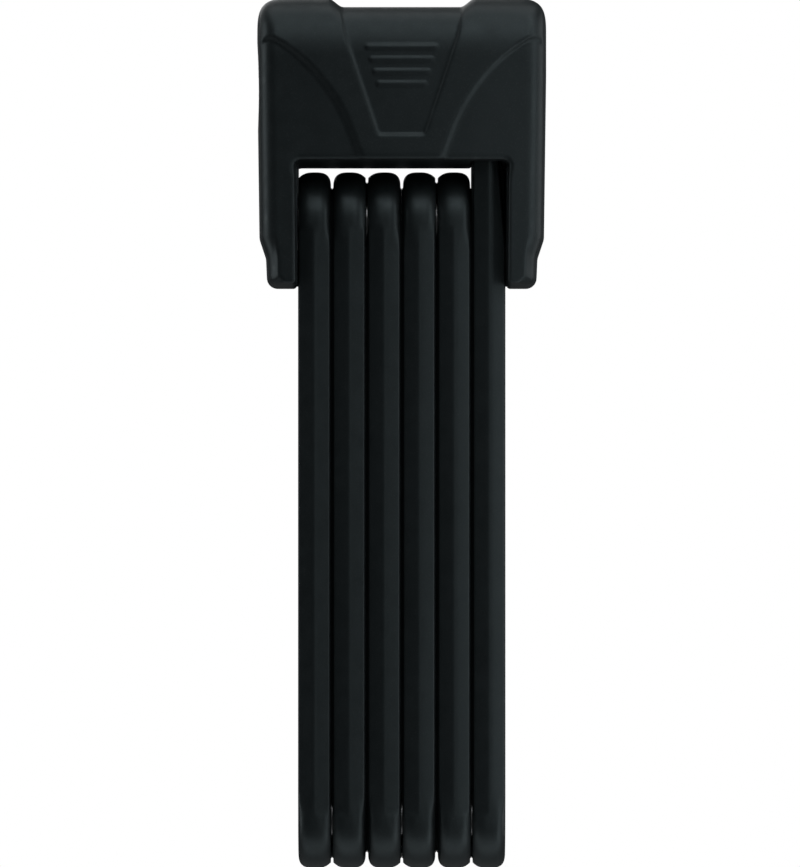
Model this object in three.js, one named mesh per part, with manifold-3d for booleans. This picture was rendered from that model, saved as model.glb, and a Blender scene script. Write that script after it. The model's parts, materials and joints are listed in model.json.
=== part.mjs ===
// A folding bike lock, folded: six steel links in soft covers hang side by side in the
// gap of a U-shaped lock body. Millimetres. X runs across the stack of links, from the
// pivot leg at -X to the latch side at +X. Y runs through the depth, with the front at
// -Y. Z is up. The origin is the middle of the lock body, on the axis of its cylinder.
// Inside the group called lock, Z is counted from the lower ends of the folded links.
//
// Link 1 is riveted to the left leg of the body, and each link to the next one, by turns
// at the bottom and at the top. The bare tongue on top of link 6 stands in a slot of the
// body, where a bolt driven by the key cylinder passes through its hole. The slot is open
// to the rear. The bolt is drawn back here, and the pin stacks stand at the shear line.
import * as THREE from "three";
import { mergeVertices } from "three/addons/utils/BufferGeometryUtils.js";
import Module from "manifold-3d";

const wasm = await Module();
wasm.setup();

// ---- Driving dimensions -------------------------------------------------------------
const LINKS = 6;
const PITCH = 8; // from the middle of one link to the middle of the next
const SPAN = 137; // between a link's two pivots
const COVER = { width: 23, thick: 7.4, crown: 2.2, wallGap: 0.2 };
const PAD = { radius: 8.3, height: 0.15, channel: 6.6 }; // raised on the sides that meet
const STEEL = { width: 16.4, thick: 5 };
const END = COVER.width / 2; // radius of a link's round end
const LOW_PIVOT = END;
const HIGH_PIVOT = END + SPAN;
const GAP = 0.2; // kept between pieces that touch
const RIVET = { shank: 3, hole: 3.3, head: 5.5, headThick: 0.9 };
const WASHER = { outer: 6.4, window: 6.8 };

const BODY = {
  half: 33.2, // half the width across the shoulders
  depth: 33,
  shoulder: 199.8, // top of the shoulders
  saddle: 197.8, // top between the shoulders
  saddleHalf: 14.4,
  ceiling: 161.8, // top of the gap that the links fold into
  gapHalf: 24.3,
  foot: 133.2, // lower end of the legs
  skin: 2.3, // thickness of the two covers outside
  lining: 1.3, // thickness of the two covers in the gap
};
const RELIEF = 0.8; // depth of the sunk panels on both faces
const SLOT = { left: 16.1, right: 22.8, front: -12.1, top: 183.2 };
const TONGUE = { start: 146, full: 158, right: 21.4, reach: 34 };
const COVER_6_TOP = 163.5;
const COVER_6_TAPER = { start: 141, right: 21.9 };

const PLUG_Z = 176; // axis of the plug, the cam and the bolt
const PLUG = { radius: 5.2, left: -32.4, right: -5 };
const SHELL = { radius: 11, z: 179.5, left: -30.6, right: -5 };
const CAM = { radius: 6, bore: 3.8, left: -2.6, right: 14.2 };
const BOLT = { radius: 3.4, left: 1.5, right: 15.8, pinX: 3.2, travel: 9 };
const PIN = { radius: 1.3, bore: 1.6, first: -28, pitch: 4, count: 5 };
const KEY_PIN_LENGTHS = [3.1, 4.3, 3.6, 4.6, 3.3];

// ---- Materials ----------------------------------------------------------------------
const material = (color, roughness, metalness) =>
  new THREE.MeshStandardMaterial({ color, roughness, metalness });
const softPlastic = material(0x191c1e, 0.55, 0);
const bodyPlastic = material(0x1c1f21, 0.5, 0);
const hardSteel = material(0x8d9194, 0.35, 1);
const rivetSteel = material(0x9ea2a6, 0.3, 1);
const castZinc = material(0x8a8d90, 0.5, 1);
const brass = material(0xb5965a, 0.35, 1);
const washerSteel = material(0x8f9396, 0.35, 1);
const springSteel = material(0xb0b3b6, 0.3, 1);

// ---- Solids from three.js geometry --------------------------------------------------
function solid(geometry) {
  const bare = geometry.clone();
  bare.deleteAttribute("normal");
  bare.deleteAttribute("uv");
  const merged = mergeVertices(bare, 1e-4);
  return new wasm.Manifold(
    new wasm.Mesh({
      numProp: 3,
      vertProperties: merged.attributes.position.array,
      triVerts: new Uint32Array(merged.index.array),
    }),
  );
}

function geometryOf(body) {
  const mesh = body.getMesh();
  const position = new Float32Array(mesh.numVert * 3);
  for (let i = 0; i < mesh.numVert; i++) {
    const start = i * mesh.numProp;
    position.set(mesh.vertProperties.subarray(start, start + 3), i * 3);
  }
  const geometry = new THREE.BufferGeometry();
  geometry.setAttribute("position", new THREE.BufferAttribute(position, 3));
  geometry.setIndex(new THREE.BufferAttribute(mesh.triVerts, 1));
  geometry.computeVertexNormals();
  return geometry;
}

// A named piece in a group, made from a solid or from a geometry that copies share.
function place(group, name, shape, look, at = [0, 0, 0]) {
  const geometry = shape.isBufferGeometry ? shape : geometryOf(shape);
  const mesh = new THREE.Mesh(geometry, look);
  mesh.name = name;
  mesh.position.set(...at);
  group.add(mesh);
}

const object = new THREE.Group();
const lock = new THREE.Group();
lock.position.z = -PLUG_Z;
object.add(lock);

// Round bars along each axis, from a to b, about a line through the other two places.
function rodX(radius, a, b, y, z, sides = 24) {
  const g = new THREE.CylinderGeometry(radius, radius, b - a, sides);
  return solid(g.rotateZ(Math.PI / 2).translate((a + b) / 2, y, z));
}

function rodY(radius, a, b, x, z, sides = 24) {
  const g = new THREE.CylinderGeometry(radius, radius, b - a, sides);
  return solid(g.translate(x, (a + b) / 2, z));
}

function rodZ(radius, a, b, x, y, sides = 24) {
  const g = new THREE.CylinderGeometry(radius, radius, b - a, sides);
  return solid(g.rotateX(Math.PI / 2).translate(x, y, (a + b) / 2));
}

function box(x0, x1, y0, y1, z0, z1) {
  const g = new THREE.BoxGeometry(x1 - x0, y1 - y0, z1 - z0);
  return solid(g.translate((x0 + x1) / 2, (y0 + y1) / 2, (z0 + z1) / 2));
}

// A shape drawn in (y, z), from x = a to b.
const YZ_ALONG_X = new THREE.Matrix4().makeBasis(
  new THREE.Vector3(0, 1, 0),
  new THREE.Vector3(0, 0, 1),
  new THREE.Vector3(1, 0, 0),
);
function extrudeX(shape, a, b, curveSegments = 5) {
  const g = new THREE.ExtrudeGeometry(shape, {
    depth: b - a,
    bevelEnabled: false,
    curveSegments,
  });
  return solid(g.applyMatrix4(YZ_ALONG_X).translate(a, 0, 0));
}

// A shape drawn in (x, z), from y = a to b.
function extrudeY(shape, a, b, curveSegments = 4) {
  const g = new THREE.ExtrudeGeometry(shape, {
    depth: b - a,
    bevelEnabled: false,
    curveSegments,
  });
  return solid(g.rotateX(Math.PI / 2).translate(0, b, 0));
}

// A shape drawn in (x, y), from z = a to b.
function extrudeZ(shape, a, b, curveSegments = 4) {
  const g = new THREE.ExtrudeGeometry(shape, {
    depth: b - a,
    bevelEnabled: false,
    curveSegments,
  });
  return solid(g.translate(0, 0, a));
}

// ---- Links --------------------------------------------------------------------------
// Each link is modelled with its own middle at X = 0.
const linkX = (k) => (k - (LINKS + 1) / 2) * PITCH; // middle of link k, 1 to 6
const PIVOTS = [LOW_PIVOT, HIGH_PIVOT];

// Two round ends joined by straight sides, in (y, z).
function stadium(radius, high = HIGH_PIVOT) {
  const s = new THREE.Shape();
  s.absarc(0, high, radius, 0, Math.PI, false);
  s.absarc(0, LOW_PIVOT, radius, Math.PI, 2 * Math.PI, false);
  s.closePath();
  return s;
}

// Link 6 in outline: round below, and above a tongue whose end is an arc about the
// body's pivot, so that it clears the slot's roof as it swings out.
function tongueOutline(half) {
  const end = Math.asin(half / TONGUE.reach);
  const s = new THREE.Shape();
  s.absarc(0, LOW_PIVOT, half, Math.PI, 2 * Math.PI, false);
  s.absarc(0, HIGH_PIVOT, TONGUE.reach, Math.PI / 2 - end, Math.PI / 2 + end, false);
  s.closePath();
  return s;
}

// What is taken off the right of link 6, so that it narrows towards the slot, in (x, z).
function taperCut(start, full, from, to) {
  const top = 200;
  const outside = from + 10;
  const s = new THREE.Shape();
  s.moveTo(from, start);
  s.lineTo(to, full);
  s.lineTo(to, top);
  s.lineTo(outside, top);
  s.lineTo(outside, start);
  s.closePath();
  return extrudeY(s, -20, 20);
}

const halfSteel = STEEL.thick / 2;
const halfCover = COVER.thick / 2;
const tongueRight = TONGUE.right - linkX(LINKS);

function steelLink() {
  let body = extrudeX(stadium(STEEL.width / 2), -halfSteel, halfSteel);
  for (const z of PIVOTS) body = body.subtract(rodX(RIVET.hole, -5, 5, 0, z, 16));
  return body;
}

function steelTongueLink() {
  let body = extrudeX(tongueOutline(STEEL.width / 2), -halfSteel, halfSteel);
  body = body.subtract(rodX(RIVET.hole, -5, 5, 0, LOW_PIVOT, 16));
  body = body.subtract(taperCut(TONGUE.start, TONGUE.full, halfSteel, tongueRight));
  return body.subtract(rodX(BOLT.radius + 0.5, -5, 5, 0, PLUG_Z, 20));
}

// A cover's outside: flat on both broad sides and crowned round its narrow edge.
function coverOutside() {
  const flat = 0.2;
  const g = new THREE.ExtrudeGeometry(stadium(END), {
    depth: flat,
    curveSegments: 5,
    bevelEnabled: true,
    bevelThickness: (COVER.thick - flat) / 2,
    bevelSize: COVER.crown,
    bevelOffset: -COVER.crown,
    bevelSegments: 2,
  });
  return solid(g.applyMatrix4(YZ_ALONG_X).translate(-flat / 2, 0, 0));
}

// side is the way from the link to what it is joined to at this pivot: -1 or 1.
function rodTowards(side, radius, near, far, z, sides) {
  const ends = [side * near, side * far];
  return rodX(radius, Math.min(...ends), Math.max(...ends), 0, z, sides);
}

// The raised pad on one broad side, cut across where the link is joined on that side.
function pad(side, joints, high = HIGH_PIVOT) {
  const [near, far] = [halfCover - 1, halfCover + PAD.height];
  const ends = [side * near, side * far];
  let body = extrudeX(stadium(PAD.radius, high), Math.min(...ends), Math.max(...ends));
  for (const z of joints) {
    const [low, top] = [z - PAD.channel, z + PAD.channel];
    body = body.subtract(box(...(side > 0 ? [halfCover, 5] : [-5, -halfCover]), -20, 20, low, top));
  }
  return body;
}

function jointWindows(side, z) {
  const forWasher = rodTowards(side, WASHER.window, 0, 5, z, 16);
  const forHead = rodTowards(-side, RIVET.head + 0.4, 0, 5, z, 16);
  return forWasher.add(forHead);
}

const pocketHalf = halfSteel + COVER.wallGap;
const pocketRadius = STEEL.width / 2 + COVER.wallGap;

// The soft cover of links 1 to 5. An odd link is joined on its right at the low pivot
// and on its left at the high one, and an even link the other way round. The first
// link has no pad on its outer side, the left.
function linkCover(lowSide, first) {
  let body = coverOutside().add(pad(lowSide, [LOW_PIVOT]));
  if (!first) body = body.add(pad(-lowSide, [HIGH_PIVOT]));
  body = body.subtract(extrudeX(stadium(pocketRadius), -pocketHalf, pocketHalf));
  body = body.subtract(jointWindows(lowSide, LOW_PIVOT));
  return body.subtract(jointWindows(-lowSide, HIGH_PIVOT));
}

// The last cover runs straight on into the slot, narrows on its right, and is open on top.
function lastCover() {
  const [seam, lift] = [130, 30];
  const lower = coverOutside().trimByPlane([0, 0, -1], -seam);
  const upper = coverOutside()
    .trimByPlane([0, 0, 1], seam - lift)
    .trimByPlane([0, 0, -1], -(COVER_6_TOP - lift))
    .translate([0, 0, lift]);
  const right = COVER_6_TAPER.right - linkX(LINKS);
  let body = lower.add(upper).add(pad(-1, [LOW_PIVOT]));
  body = body.subtract(taperCut(COVER_6_TAPER.start, COVER_6_TOP, halfCover, right));
  const pocket = extrudeX(stadium(pocketRadius, 190), -pocketHalf, pocketHalf);
  const narrow = tongueRight + COVER.wallGap;
  const keep = taperCut(TONGUE.start, TONGUE.full, pocketHalf, narrow);
  body = body.subtract(pocket.subtract(keep));
  return body.subtract(jointWindows(-1, LOW_PIVOT));
}

// A rivet along X with a head at each end.
function rivet(leftHead, leftSeat, rightSeat, rightHead) {
  const profile = [
    [0, leftHead],
    [RIVET.head, leftHead],
    [RIVET.head, leftSeat],
    [RIVET.shank, leftSeat],
    [RIVET.shank, rightSeat],
    [RIVET.head, rightSeat],
    [RIVET.head, rightHead],
    [0, rightHead],
  ].map(([r, along]) => new THREE.Vector2(r, along));
  return solid(new THREE.LatheGeometry(profile, 14).rotateZ(-Math.PI / 2));
}

function washer(a, b) {
  const ring = rodX(WASHER.outer, a, b, 0, 0, 16);
  return ring.subtract(rodX(RIVET.hole, a - 1, b + 1, 0, 0, 12));
}

const plainSteel = geometryOf(steelLink());
const firstCover = geometryOf(linkCover(1, true));
const oddCover = geometryOf(linkCover(1, false));
const evenCover = geometryOf(linkCover(-1, false));
const headSeat = PITCH / 2 + halfSteel + GAP; // from the joint's middle to a head
const headEnd = headSeat + RIVET.headThick;
const jointRivet = geometryOf(rivet(-headEnd, -headSeat, headSeat, headEnd));
const washerHalf = PITCH / 2 - halfSteel - GAP;
const jointWasher = geometryOf(washer(-washerHalf, washerHalf));

for (let k = 1; k <= LINKS; k++) {
  const link = new THREE.Group();
  link.position.x = linkX(k);
  lock.add(link);
  const last = k === LINKS;
  const middleCover = k % 2 ? oddCover : evenCover;
  const cover = k === 1 ? firstCover : middleCover;
  place(link, `link_bar_${k}`, last ? steelTongueLink() : plainSteel, hardSteel);
  place(link, `link_cover_${k}`, last ? lastCover() : cover, softPlastic);
  if (last) continue;
  const joint = [PITCH / 2, 0, k % 2 ? LOW_PIVOT : HIGH_PIVOT];
  place(link, `joint_rivet_${k}`, jointRivet, rivetSteel, joint);
  place(link, `joint_washer_${k}`, jointWasher, washerSteel, joint);
}

// ---- Lock body ----------------------------------------------------------------------
// The body seen from the front, in (x, z): a U upside down, with a saddle on top.
// outer and inner are how far it is drawn in from the outside and from the gap.
function bodyOutline(outer, inner) {
  const half = BODY.half - outer;
  const shoulder = BODY.shoulder - outer;
  const saddle = BODY.saddle - outer;
  const foot = BODY.foot + outer;
  const gap = BODY.gapHalf + inner;
  const ceiling = BODY.ceiling + inner;
  const corner = 4;
  const right = [
    (s) => s.lineTo(BODY.saddleHalf, saddle),
    (s) => s.lineTo(BODY.saddleHalf + 2, shoulder),
    (s) => s.lineTo(half - corner, shoulder + 0.01),
    (s) => s.quadraticCurveTo(half - 0.4, shoulder - 0.4, half, shoulder - corner - 1),
    (s) => s.lineTo(half, 180),
    (s) => s.lineTo(half - 0.5, 144.5),
    (s) => s.lineTo(half - 2, 140),
    (s) => s.lineTo(half - 2.3, foot + 2.3),
    (s) => s.quadraticCurveTo(half - 2.5, foot, half - 4.6, foot),
    (s) => s.lineTo(gap - 0.1, foot),
    (s) => s.lineTo(gap + 0.3, ceiling - 3),
    (s) => s.quadraticCurveTo(gap + 0.2, ceiling, gap - 3, ceiling),
  ];
  const s = new THREE.Shape();
  s.moveTo(0, saddle);
  right.forEach((draw) => draw(s));
  const half1 = s.getPoints(3);
  const outline = [...half1, ...half1.slice(1).reverse().map((p) => new THREE.Vector2(-p.x, p.y))];
  return new THREE.Shape(outline);
}

// The body seen from the side, in (y, z), and from above, in (x, y).
function sideOutline(inset) {
  const half = BODY.depth / 2 - inset;
  const top = BODY.shoulder + 1;
  const s = new THREE.Shape();
  s.moveTo(-half, BODY.foot + 3);
  s.quadraticCurveTo(-half, BODY.foot - 0.1, -half + 2, BODY.foot - 0.1);
  s.lineTo(half - 2, BODY.foot - 0.1);
  s.quadraticCurveTo(half, BODY.foot - 0.1, half, BODY.foot + 3);
  s.lineTo(half, 187);
  s.quadraticCurveTo(half, 198, half - 6, top);
  s.lineTo(-half + 6, top);
  s.quadraticCurveTo(-half, 198, -half, 187);
  s.closePath();
  return s;
}

function planOutline() {
  const [w, d] = [BODY.half + 0.1, BODY.depth / 2 + 0.1];
  const s = new THREE.Shape();
  s.moveTo(w, 0);
  s.lineTo(w - 0.9, d - 4.5);
  s.quadraticCurveTo(w - 1.3, d, w - 5, d);
  s.lineTo(-w + 5, d);
  s.quadraticCurveTo(-w + 1.3, d, -w + 0.9, d - 4.5);
  s.lineTo(-w, 0);
  s.lineTo(-w + 0.9, -d + 4.5);
  s.quadraticCurveTo(-w + 1.3, -d, -w + 5, -d);
  s.lineTo(w - 5, -d);
  s.quadraticCurveTo(w - 1.3, -d, w - 0.9, -d + 4.5);
  s.closePath();
  return s;
}

// The sunk panels of one face: the middle one under the saddle, and one on each leg.
function reliefShapes() {
  const middle = new THREE.Shape();
  middle.moveTo(-14.6, 202);
  middle.lineTo(-14.6, 197);
  middle.lineTo(-5.4, 167.5);
  middle.lineTo(5.4, 167.5);
  middle.lineTo(14.6, 197);
  middle.lineTo(14.6, 202);
  middle.closePath();
  const leg = (side) => {
    const s = new THREE.Shape();
    s.moveTo(side * 8.3, 161);
    s.lineTo(side * 14, 176.6);
    s.quadraticCurveTo(side * 17.2, 183.6, side * 24, 187.2);
    s.lineTo(side * 29.3, 190.6);
    s.quadraticCurveTo(side * 31.5, 190.6, side * 34.5, 182);
    s.lineTo(side * 34.5, 130);
    s.lineTo(side * 20, 130);
    s.lineTo(side * 20, 161);
    s.closePath();
    return s;
  };
  return [middle, leg(-1), leg(1)];
}

// The slanted edge of the gap's ceiling, on the front (way -1) or the rear (way 1).
function mouthBevel(way) {
  const face = way * (BODY.depth / 2 + 0.1);
  const low = BODY.ceiling - 0.1;
  const s = new THREE.Shape();
  s.moveTo(face, low);
  s.lineTo(face, low + 2.8);
  s.lineTo(face - way * 0.9, low + 2.8);
  s.lineTo(face - way * 2.6, low);
  s.closePath();
  return extrudeX(s, -BODY.gapHalf + 1.5, BODY.gapHalf - 1.5);
}

function bodyOutside() {
  const front = extrudeY(bodyOutline(0, 0), -20, 20);
  const side = extrudeX(sideOutline(0), -40, 40, 4);
  const plan = extrudeZ(planOutline(), 120, 210, 3);
  let body = front.intersect(side).intersect(plan);
  const face = BODY.depth / 2 - RELIEF;
  for (const shape of reliefShapes()) {
    body = body.subtract(extrudeY(shape, face, 20)).subtract(extrudeY(shape, -20, -face));
  }
  for (const way of [-1, 1]) body = body.subtract(mouthBevel(way));
  return body;
}

const slotCut = box(SLOT.left, SLOT.right, SLOT.front, 20, 155, SLOT.top);

// The cast core fills the covers. side +1 grows it into the pocket that the covers need.
function coreBlock(grow) {
  const outline = bodyOutline(BODY.skin + GAP - grow, BODY.lining + GAP - grow);
  const half = BODY.depth / 2 - BODY.skin - RELIEF - GAP + grow;
  const top = extrudeX(sideOutline(BODY.depth / 2 - half), -40, 40, 3);
  return extrudeY(outline, -half, half).intersect(top);
}

function lockCore() {
  let core = coreBlock(0).subtract(slotCut);
  const steps = [
    rodX(SHELL.radius + GAP, -40, SHELL.right + GAP, 0, SHELL.z, 32),
    rodX(CAM.radius + 0.3, -10, CAM.right + 0.3, 0, PLUG_Z, 20),
    rodX(BOLT.radius + 0.3, 10, 25.8, 0, PLUG_Z, 16),
    box(1.9, 13.6, -8.2, 8.2, PLUG_Z - 1.3, PLUG_Z + 1.3), // guides of the bolt's pin
    rodZ(1.7, 183, 199, -8, 0, 12), // roll pin that holds the cylinder
    rodX(RIVET.hole, -40, -24, 0, HIGH_PIVOT, 16),
    rodX(RIVET.head + 0.4, -40, -28.4, 0, HIGH_PIVOT, 20),
  ];
  for (const step of steps) core = core.subtract(step);
  return core;
}

function bodyCovers() {
  let both = bodyOutside().subtract(coreBlock(GAP)).subtract(slotCut);
  both = both.subtract(rodX(10.1, -40, -28, 0, SHELL.z, 32)); // mouth of the cylinder
  both = both.subtract(rodX(WASHER.window, -27, -20, 0, HIGH_PIVOT, 20));
  const split = GAP / 2;
  return {
    front: both.trimByPlane([0, -1, 0], split),
    rear: both.trimByPlane([0, 1, 0], split),
  };
}

const covers = bodyCovers();
place(lock, "front_cover", covers.front, bodyPlastic);
place(lock, "rear_cover", covers.rear, bodyPlastic);
place(lock, "lock_core", lockCore(), castZinc);

// Link 1 is held to the left leg by a rivet with its left head sunk in the core.
const legFace = -(BODY.gapHalf + BODY.lining + GAP); // the core's face beside link 1
const legSeat = -28.6;
const linkSeat = linkX(1) + halfSteel + GAP;
const linkHead = linkSeat + RIVET.headThick;
const bodyRivet = rivet(legSeat - 1, legSeat, linkSeat, linkHead);
const bodyWasher = washer(legFace + GAP + 0.1, linkX(1) - halfSteel - GAP);
place(lock, "body_rivet", bodyRivet, rivetSteel, [0, 0, HIGH_PIVOT]);
place(lock, "body_washer", bodyWasher, washerSteel, [0, 0, HIGH_PIVOT]);

// ---- Key cylinder -------------------------------------------------------------------
const pinX = (i) => PIN.first + PIN.pitch * i;
const KEY_PIN_TOP = 4.95; // these two are counted from the plug's axis
const DRIVER_FOOT = 5.45;
const DRIVER_LENGTH = 3.8;
const STRIP = { low: 189.5, high: 190.35, half: 1.9, left: -30, right: -10 };
const ROLL_PIN = { x: -8, radius: 1.45, low: 183.4, high: 194.9 };

function cylinderShell() {
  let shell = rodX(SHELL.radius, SHELL.left, SHELL.right, 0, SHELL.z, 28);
  shell = shell.subtract(rodX(PLUG.radius + GAP, -40, 0, 0, PLUG_Z, 24));
  for (let i = 0; i < PIN.count; i++) {
    shell = shell.subtract(rodZ(PIN.bore, PLUG_Z + 3, 195, pinX(i), 0, 10));
  }
  const { left, right, half, low } = STRIP;
  shell = shell.subtract(box(left - GAP, right + GAP, -half - GAP, half + GAP, low - GAP, 195));
  return shell.subtract(rodZ(1.7, 183, 195, ROLL_PIN.x, 0, 12));
}

// The plug, the pins in it, the cam and the bolt are modelled about their axis, Z = 0.
function cylinderPlug() {
  let plug = rodX(PLUG.radius, PLUG.left, PLUG.right, 0, 0, 24);
  plug = plug.add(rodX(3.4, PLUG.right - 0.5, -2.9, 0, 0, 16));
  plug = plug.add(box(-3.1, 0.4, -2.3, 2.3, -2.3, 2.3)); // square end, in the cam
  const groove = rodX(4, -4.8, -3.8, 0, 0, 16).subtract(rodX(2.8, -5, -3.6, 0, 0, 16));
  plug = plug.subtract(groove);
  plug = plug.subtract(box(-34, -9.5, -1.05, 1.05, -4.1, 4)); // keyway
  plug = plug.subtract(box(-34, -9.5, -1.05, 2, -1.6, -0.4)); // side ward
  for (let i = 0; i < PIN.count; i++) {
    plug = plug.subtract(rodZ(PIN.bore, -1, 8, pinX(i), 0, 10));
  }
  return plug;
}

// A pin with its lower end turned to a blunt cone.
function keyPin(length) {
  const foot = KEY_PIN_TOP - length;
  const profile = [
    [0, foot],
    [0.45, foot],
    [PIN.radius, foot + 0.9],
    [PIN.radius, KEY_PIN_TOP],
    [0, KEY_PIN_TOP],
  ].map(([r, z]) => new THREE.Vector2(r, z));
  return solid(new THREE.LatheGeometry(profile, 10).rotateX(Math.PI / 2));
}

function pinSpring() {
  const [coil, wire, turns, stepsPerTurn] = [0.95, 0.22, 3, 7];
  const low = PLUG_Z + DRIVER_FOOT + DRIVER_LENGTH + GAP + wire;
  const rise = STRIP.low - GAP - wire - low;
  class Helix extends THREE.Curve {
    getPoint(t, target = new THREE.Vector3()) {
      const angle = 2 * Math.PI * turns * t;
      return target.set(coil * Math.cos(angle), coil * Math.sin(angle), low + rise * t);
    }
  }
  const section = new THREE.Shape();
  section.absarc(0, 0, wire, 0, 2 * Math.PI, false);
  const g = new THREE.ExtrudeGeometry(section, {
    steps: turns * stepsPerTurn,
    extrudePath: new Helix(),
    curveSegments: 2,
  });
  return solid(g);
}

function plugClip() {
  const s = new THREE.Shape();
  s.absarc(0, 0, 4.8, -0.35 * Math.PI, 1.35 * Math.PI, false);
  s.absarc(0, 0, 3, 1.35 * Math.PI, -0.35 * Math.PI, true);
  s.closePath();
  return extrudeX(s, -4.7, -4, 8);
}

// A quarter turn of the cam drives the bolt's pin along a helical slot, to the right.
function driveCam() {
  const slotHalf = 1.35;
  const steps = 9;
  let cam = rodX(CAM.radius, CAM.left, CAM.right, 0, 0, 24);
  cam = cam.subtract(box(-4, 0.6, -2.5, 2.5, -2.5, 2.5));
  cam = cam.subtract(rodX(CAM.bore, 1.2, 16, 0, 0, 20));
  for (let i = 0; i <= steps; i++) {
    const share = i / steps;
    const tool = new THREE.CylinderGeometry(slotHalf, slotHalf, 16, 10);
    tool.rotateX((-Math.PI / 2) * share);
    tool.translate(BOLT.pinX + BOLT.travel * share, 0, 0);
    cam = cam.subtract(solid(tool));
  }
  return cam;
}

function lockingBolt() {
  const nose = 0.8;
  const profile = [
    [0, BOLT.left],
    [BOLT.radius, BOLT.left],
    [BOLT.radius, BOLT.right - nose],
    [BOLT.radius - nose, BOLT.right],
    [0, BOLT.right],
  ].map(([r, along]) => new THREE.Vector2(r, along));
  const bolt = solid(new THREE.LatheGeometry(profile, 16).rotateZ(-Math.PI / 2));
  return bolt.subtract(rodY(1.15, -5, 5, BOLT.pinX, 0, 12));
}

// Fixed in the body: the shell and what stays in it.
const driverPin = geometryOf(rodZ(PIN.radius, 0, DRIVER_LENGTH, 0, 0, 10));
const spring = geometryOf(pinSpring());
const strip = box(STRIP.left, STRIP.right, -STRIP.half, STRIP.half, STRIP.low, STRIP.high);
const rollPin = rodZ(ROLL_PIN.radius, ROLL_PIN.low, ROLL_PIN.high, ROLL_PIN.x, 0, 12);
const bezelHole = rodX(PLUG.radius + 0.3, -34, -31, 0, PLUG_Z, 24);
const bezel = rodX(9.8, -32.6, -31.2, 0, SHELL.z, 32).subtract(bezelHole);
place(lock, "cylinder_shell", cylinderShell(), brass);
place(lock, "pin_chamber_strip", strip, brass);
place(lock, "cylinder_roll_pin", rollPin, springSteel);
place(lock, "keyway_bezel", bezel, castZinc);
for (let i = 0; i < PIN.count; i++) {
  const foot = [pinX(i), 0, PLUG_Z + DRIVER_FOOT];
  place(lock, `driver_pin_${i + 1}`, driverPin, hardSteel, foot);
  place(lock, `pin_spring_${i + 1}`, spring, springSteel, [pinX(i), 0, 0]);
}

// What turns with the key, and what the cam slides.
const turning = new THREE.Group();
const sliding = new THREE.Group();
object.add(turning, sliding);
place(turning, "cylinder_plug", cylinderPlug(), brass);
place(turning, "plug_clip", plugClip(), springSteel);
place(turning, "drive_cam", driveCam(), hardSteel);
KEY_PIN_LENGTHS.forEach((length, i) => {
  place(turning, `key_pin_${i + 1}`, keyPin(length), brass, [pinX(i), 0, 0]);
});
const boltPin = rodY(0.95, -7.8, 7.8, 0, 0, 12);
place(sliding, "locking_bolt", lockingBolt(), hardSteel);
place(sliding, "bolt_pin", boltPin, hardSteel, [BOLT.pinX, 0, 0]);

export default object;
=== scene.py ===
"""The looks of a folded bike lock: a U-shaped lock body over a stack of covered links.

Shapes are worked out in millimetres, with Z counted from the links' lower ends, and put
into the frame, in metres, when a mesh is made. X runs across the stack and the front is
at -Y.
"""

import json
import math

import bmesh
import bpy
import numpy as np
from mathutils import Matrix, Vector


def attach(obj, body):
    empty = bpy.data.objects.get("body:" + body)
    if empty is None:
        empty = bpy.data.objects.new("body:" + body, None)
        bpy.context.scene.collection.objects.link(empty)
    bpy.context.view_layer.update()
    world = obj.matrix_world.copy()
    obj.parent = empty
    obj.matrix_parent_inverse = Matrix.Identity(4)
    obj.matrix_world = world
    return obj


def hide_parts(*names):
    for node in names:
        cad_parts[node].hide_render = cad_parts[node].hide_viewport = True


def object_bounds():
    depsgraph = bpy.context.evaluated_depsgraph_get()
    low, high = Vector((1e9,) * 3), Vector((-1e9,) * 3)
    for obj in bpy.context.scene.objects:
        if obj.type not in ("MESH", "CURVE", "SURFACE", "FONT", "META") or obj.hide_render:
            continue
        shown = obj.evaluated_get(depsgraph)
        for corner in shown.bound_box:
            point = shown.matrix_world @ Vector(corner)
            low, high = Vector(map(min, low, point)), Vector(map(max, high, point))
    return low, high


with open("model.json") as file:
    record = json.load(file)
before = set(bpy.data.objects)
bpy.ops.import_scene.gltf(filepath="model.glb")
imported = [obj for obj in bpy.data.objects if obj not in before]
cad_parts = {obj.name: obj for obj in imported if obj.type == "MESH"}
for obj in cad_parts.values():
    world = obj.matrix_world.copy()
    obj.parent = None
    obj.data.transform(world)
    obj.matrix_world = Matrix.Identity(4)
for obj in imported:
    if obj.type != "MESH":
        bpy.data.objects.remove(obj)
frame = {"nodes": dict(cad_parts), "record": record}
cad_box = [list(corner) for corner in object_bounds()]

# ---- Dimensions, in millimetres --------------------------------------------------------
MM = 0.001
LOW_END = cad_box[0][2] / MM  # the frame's height of the links' lower ends

LINKS = 6
PITCH = 8.0
END = 11.5  # radius of a link's round end
LOW_PIVOT = END
HIGH_PIVOT = 148.5
HALF_COVER = 3.7
PAD = {"face": 3.998, "channel": 6.0, "groove": 3.85}
TAPER = {"start": 142.0, "top": 163.5, "right": 1.9}
TONGUE = {"start": 146.0, "full": 158.0, "right": 1.4, "reach": 34.0, "hole": 3.9}
STEEL = {"half": 2.5, "radius": 8.2, "pocket": 0.2}
# Radii of the rivets, the thickness of their inner heads, the room round those in a cover,
# and the play between the steel and a head or washer.
RIVET = {"shank": 3.0, "hole": 3.3, "head": 5.5, "thick": 0.9, "room": 0.4, "play": 0.2}
WASHER = {"outer": 6.4, "window": 6.8}
# How far cutters reach: to the front and rear, and to one side of a link's middle.
THROUGH = 20.0
BESIDE = 5.0

HALF_DEPTH = 16.5
HALF_WIDTH = 33.2
TOP = 199.8
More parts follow.
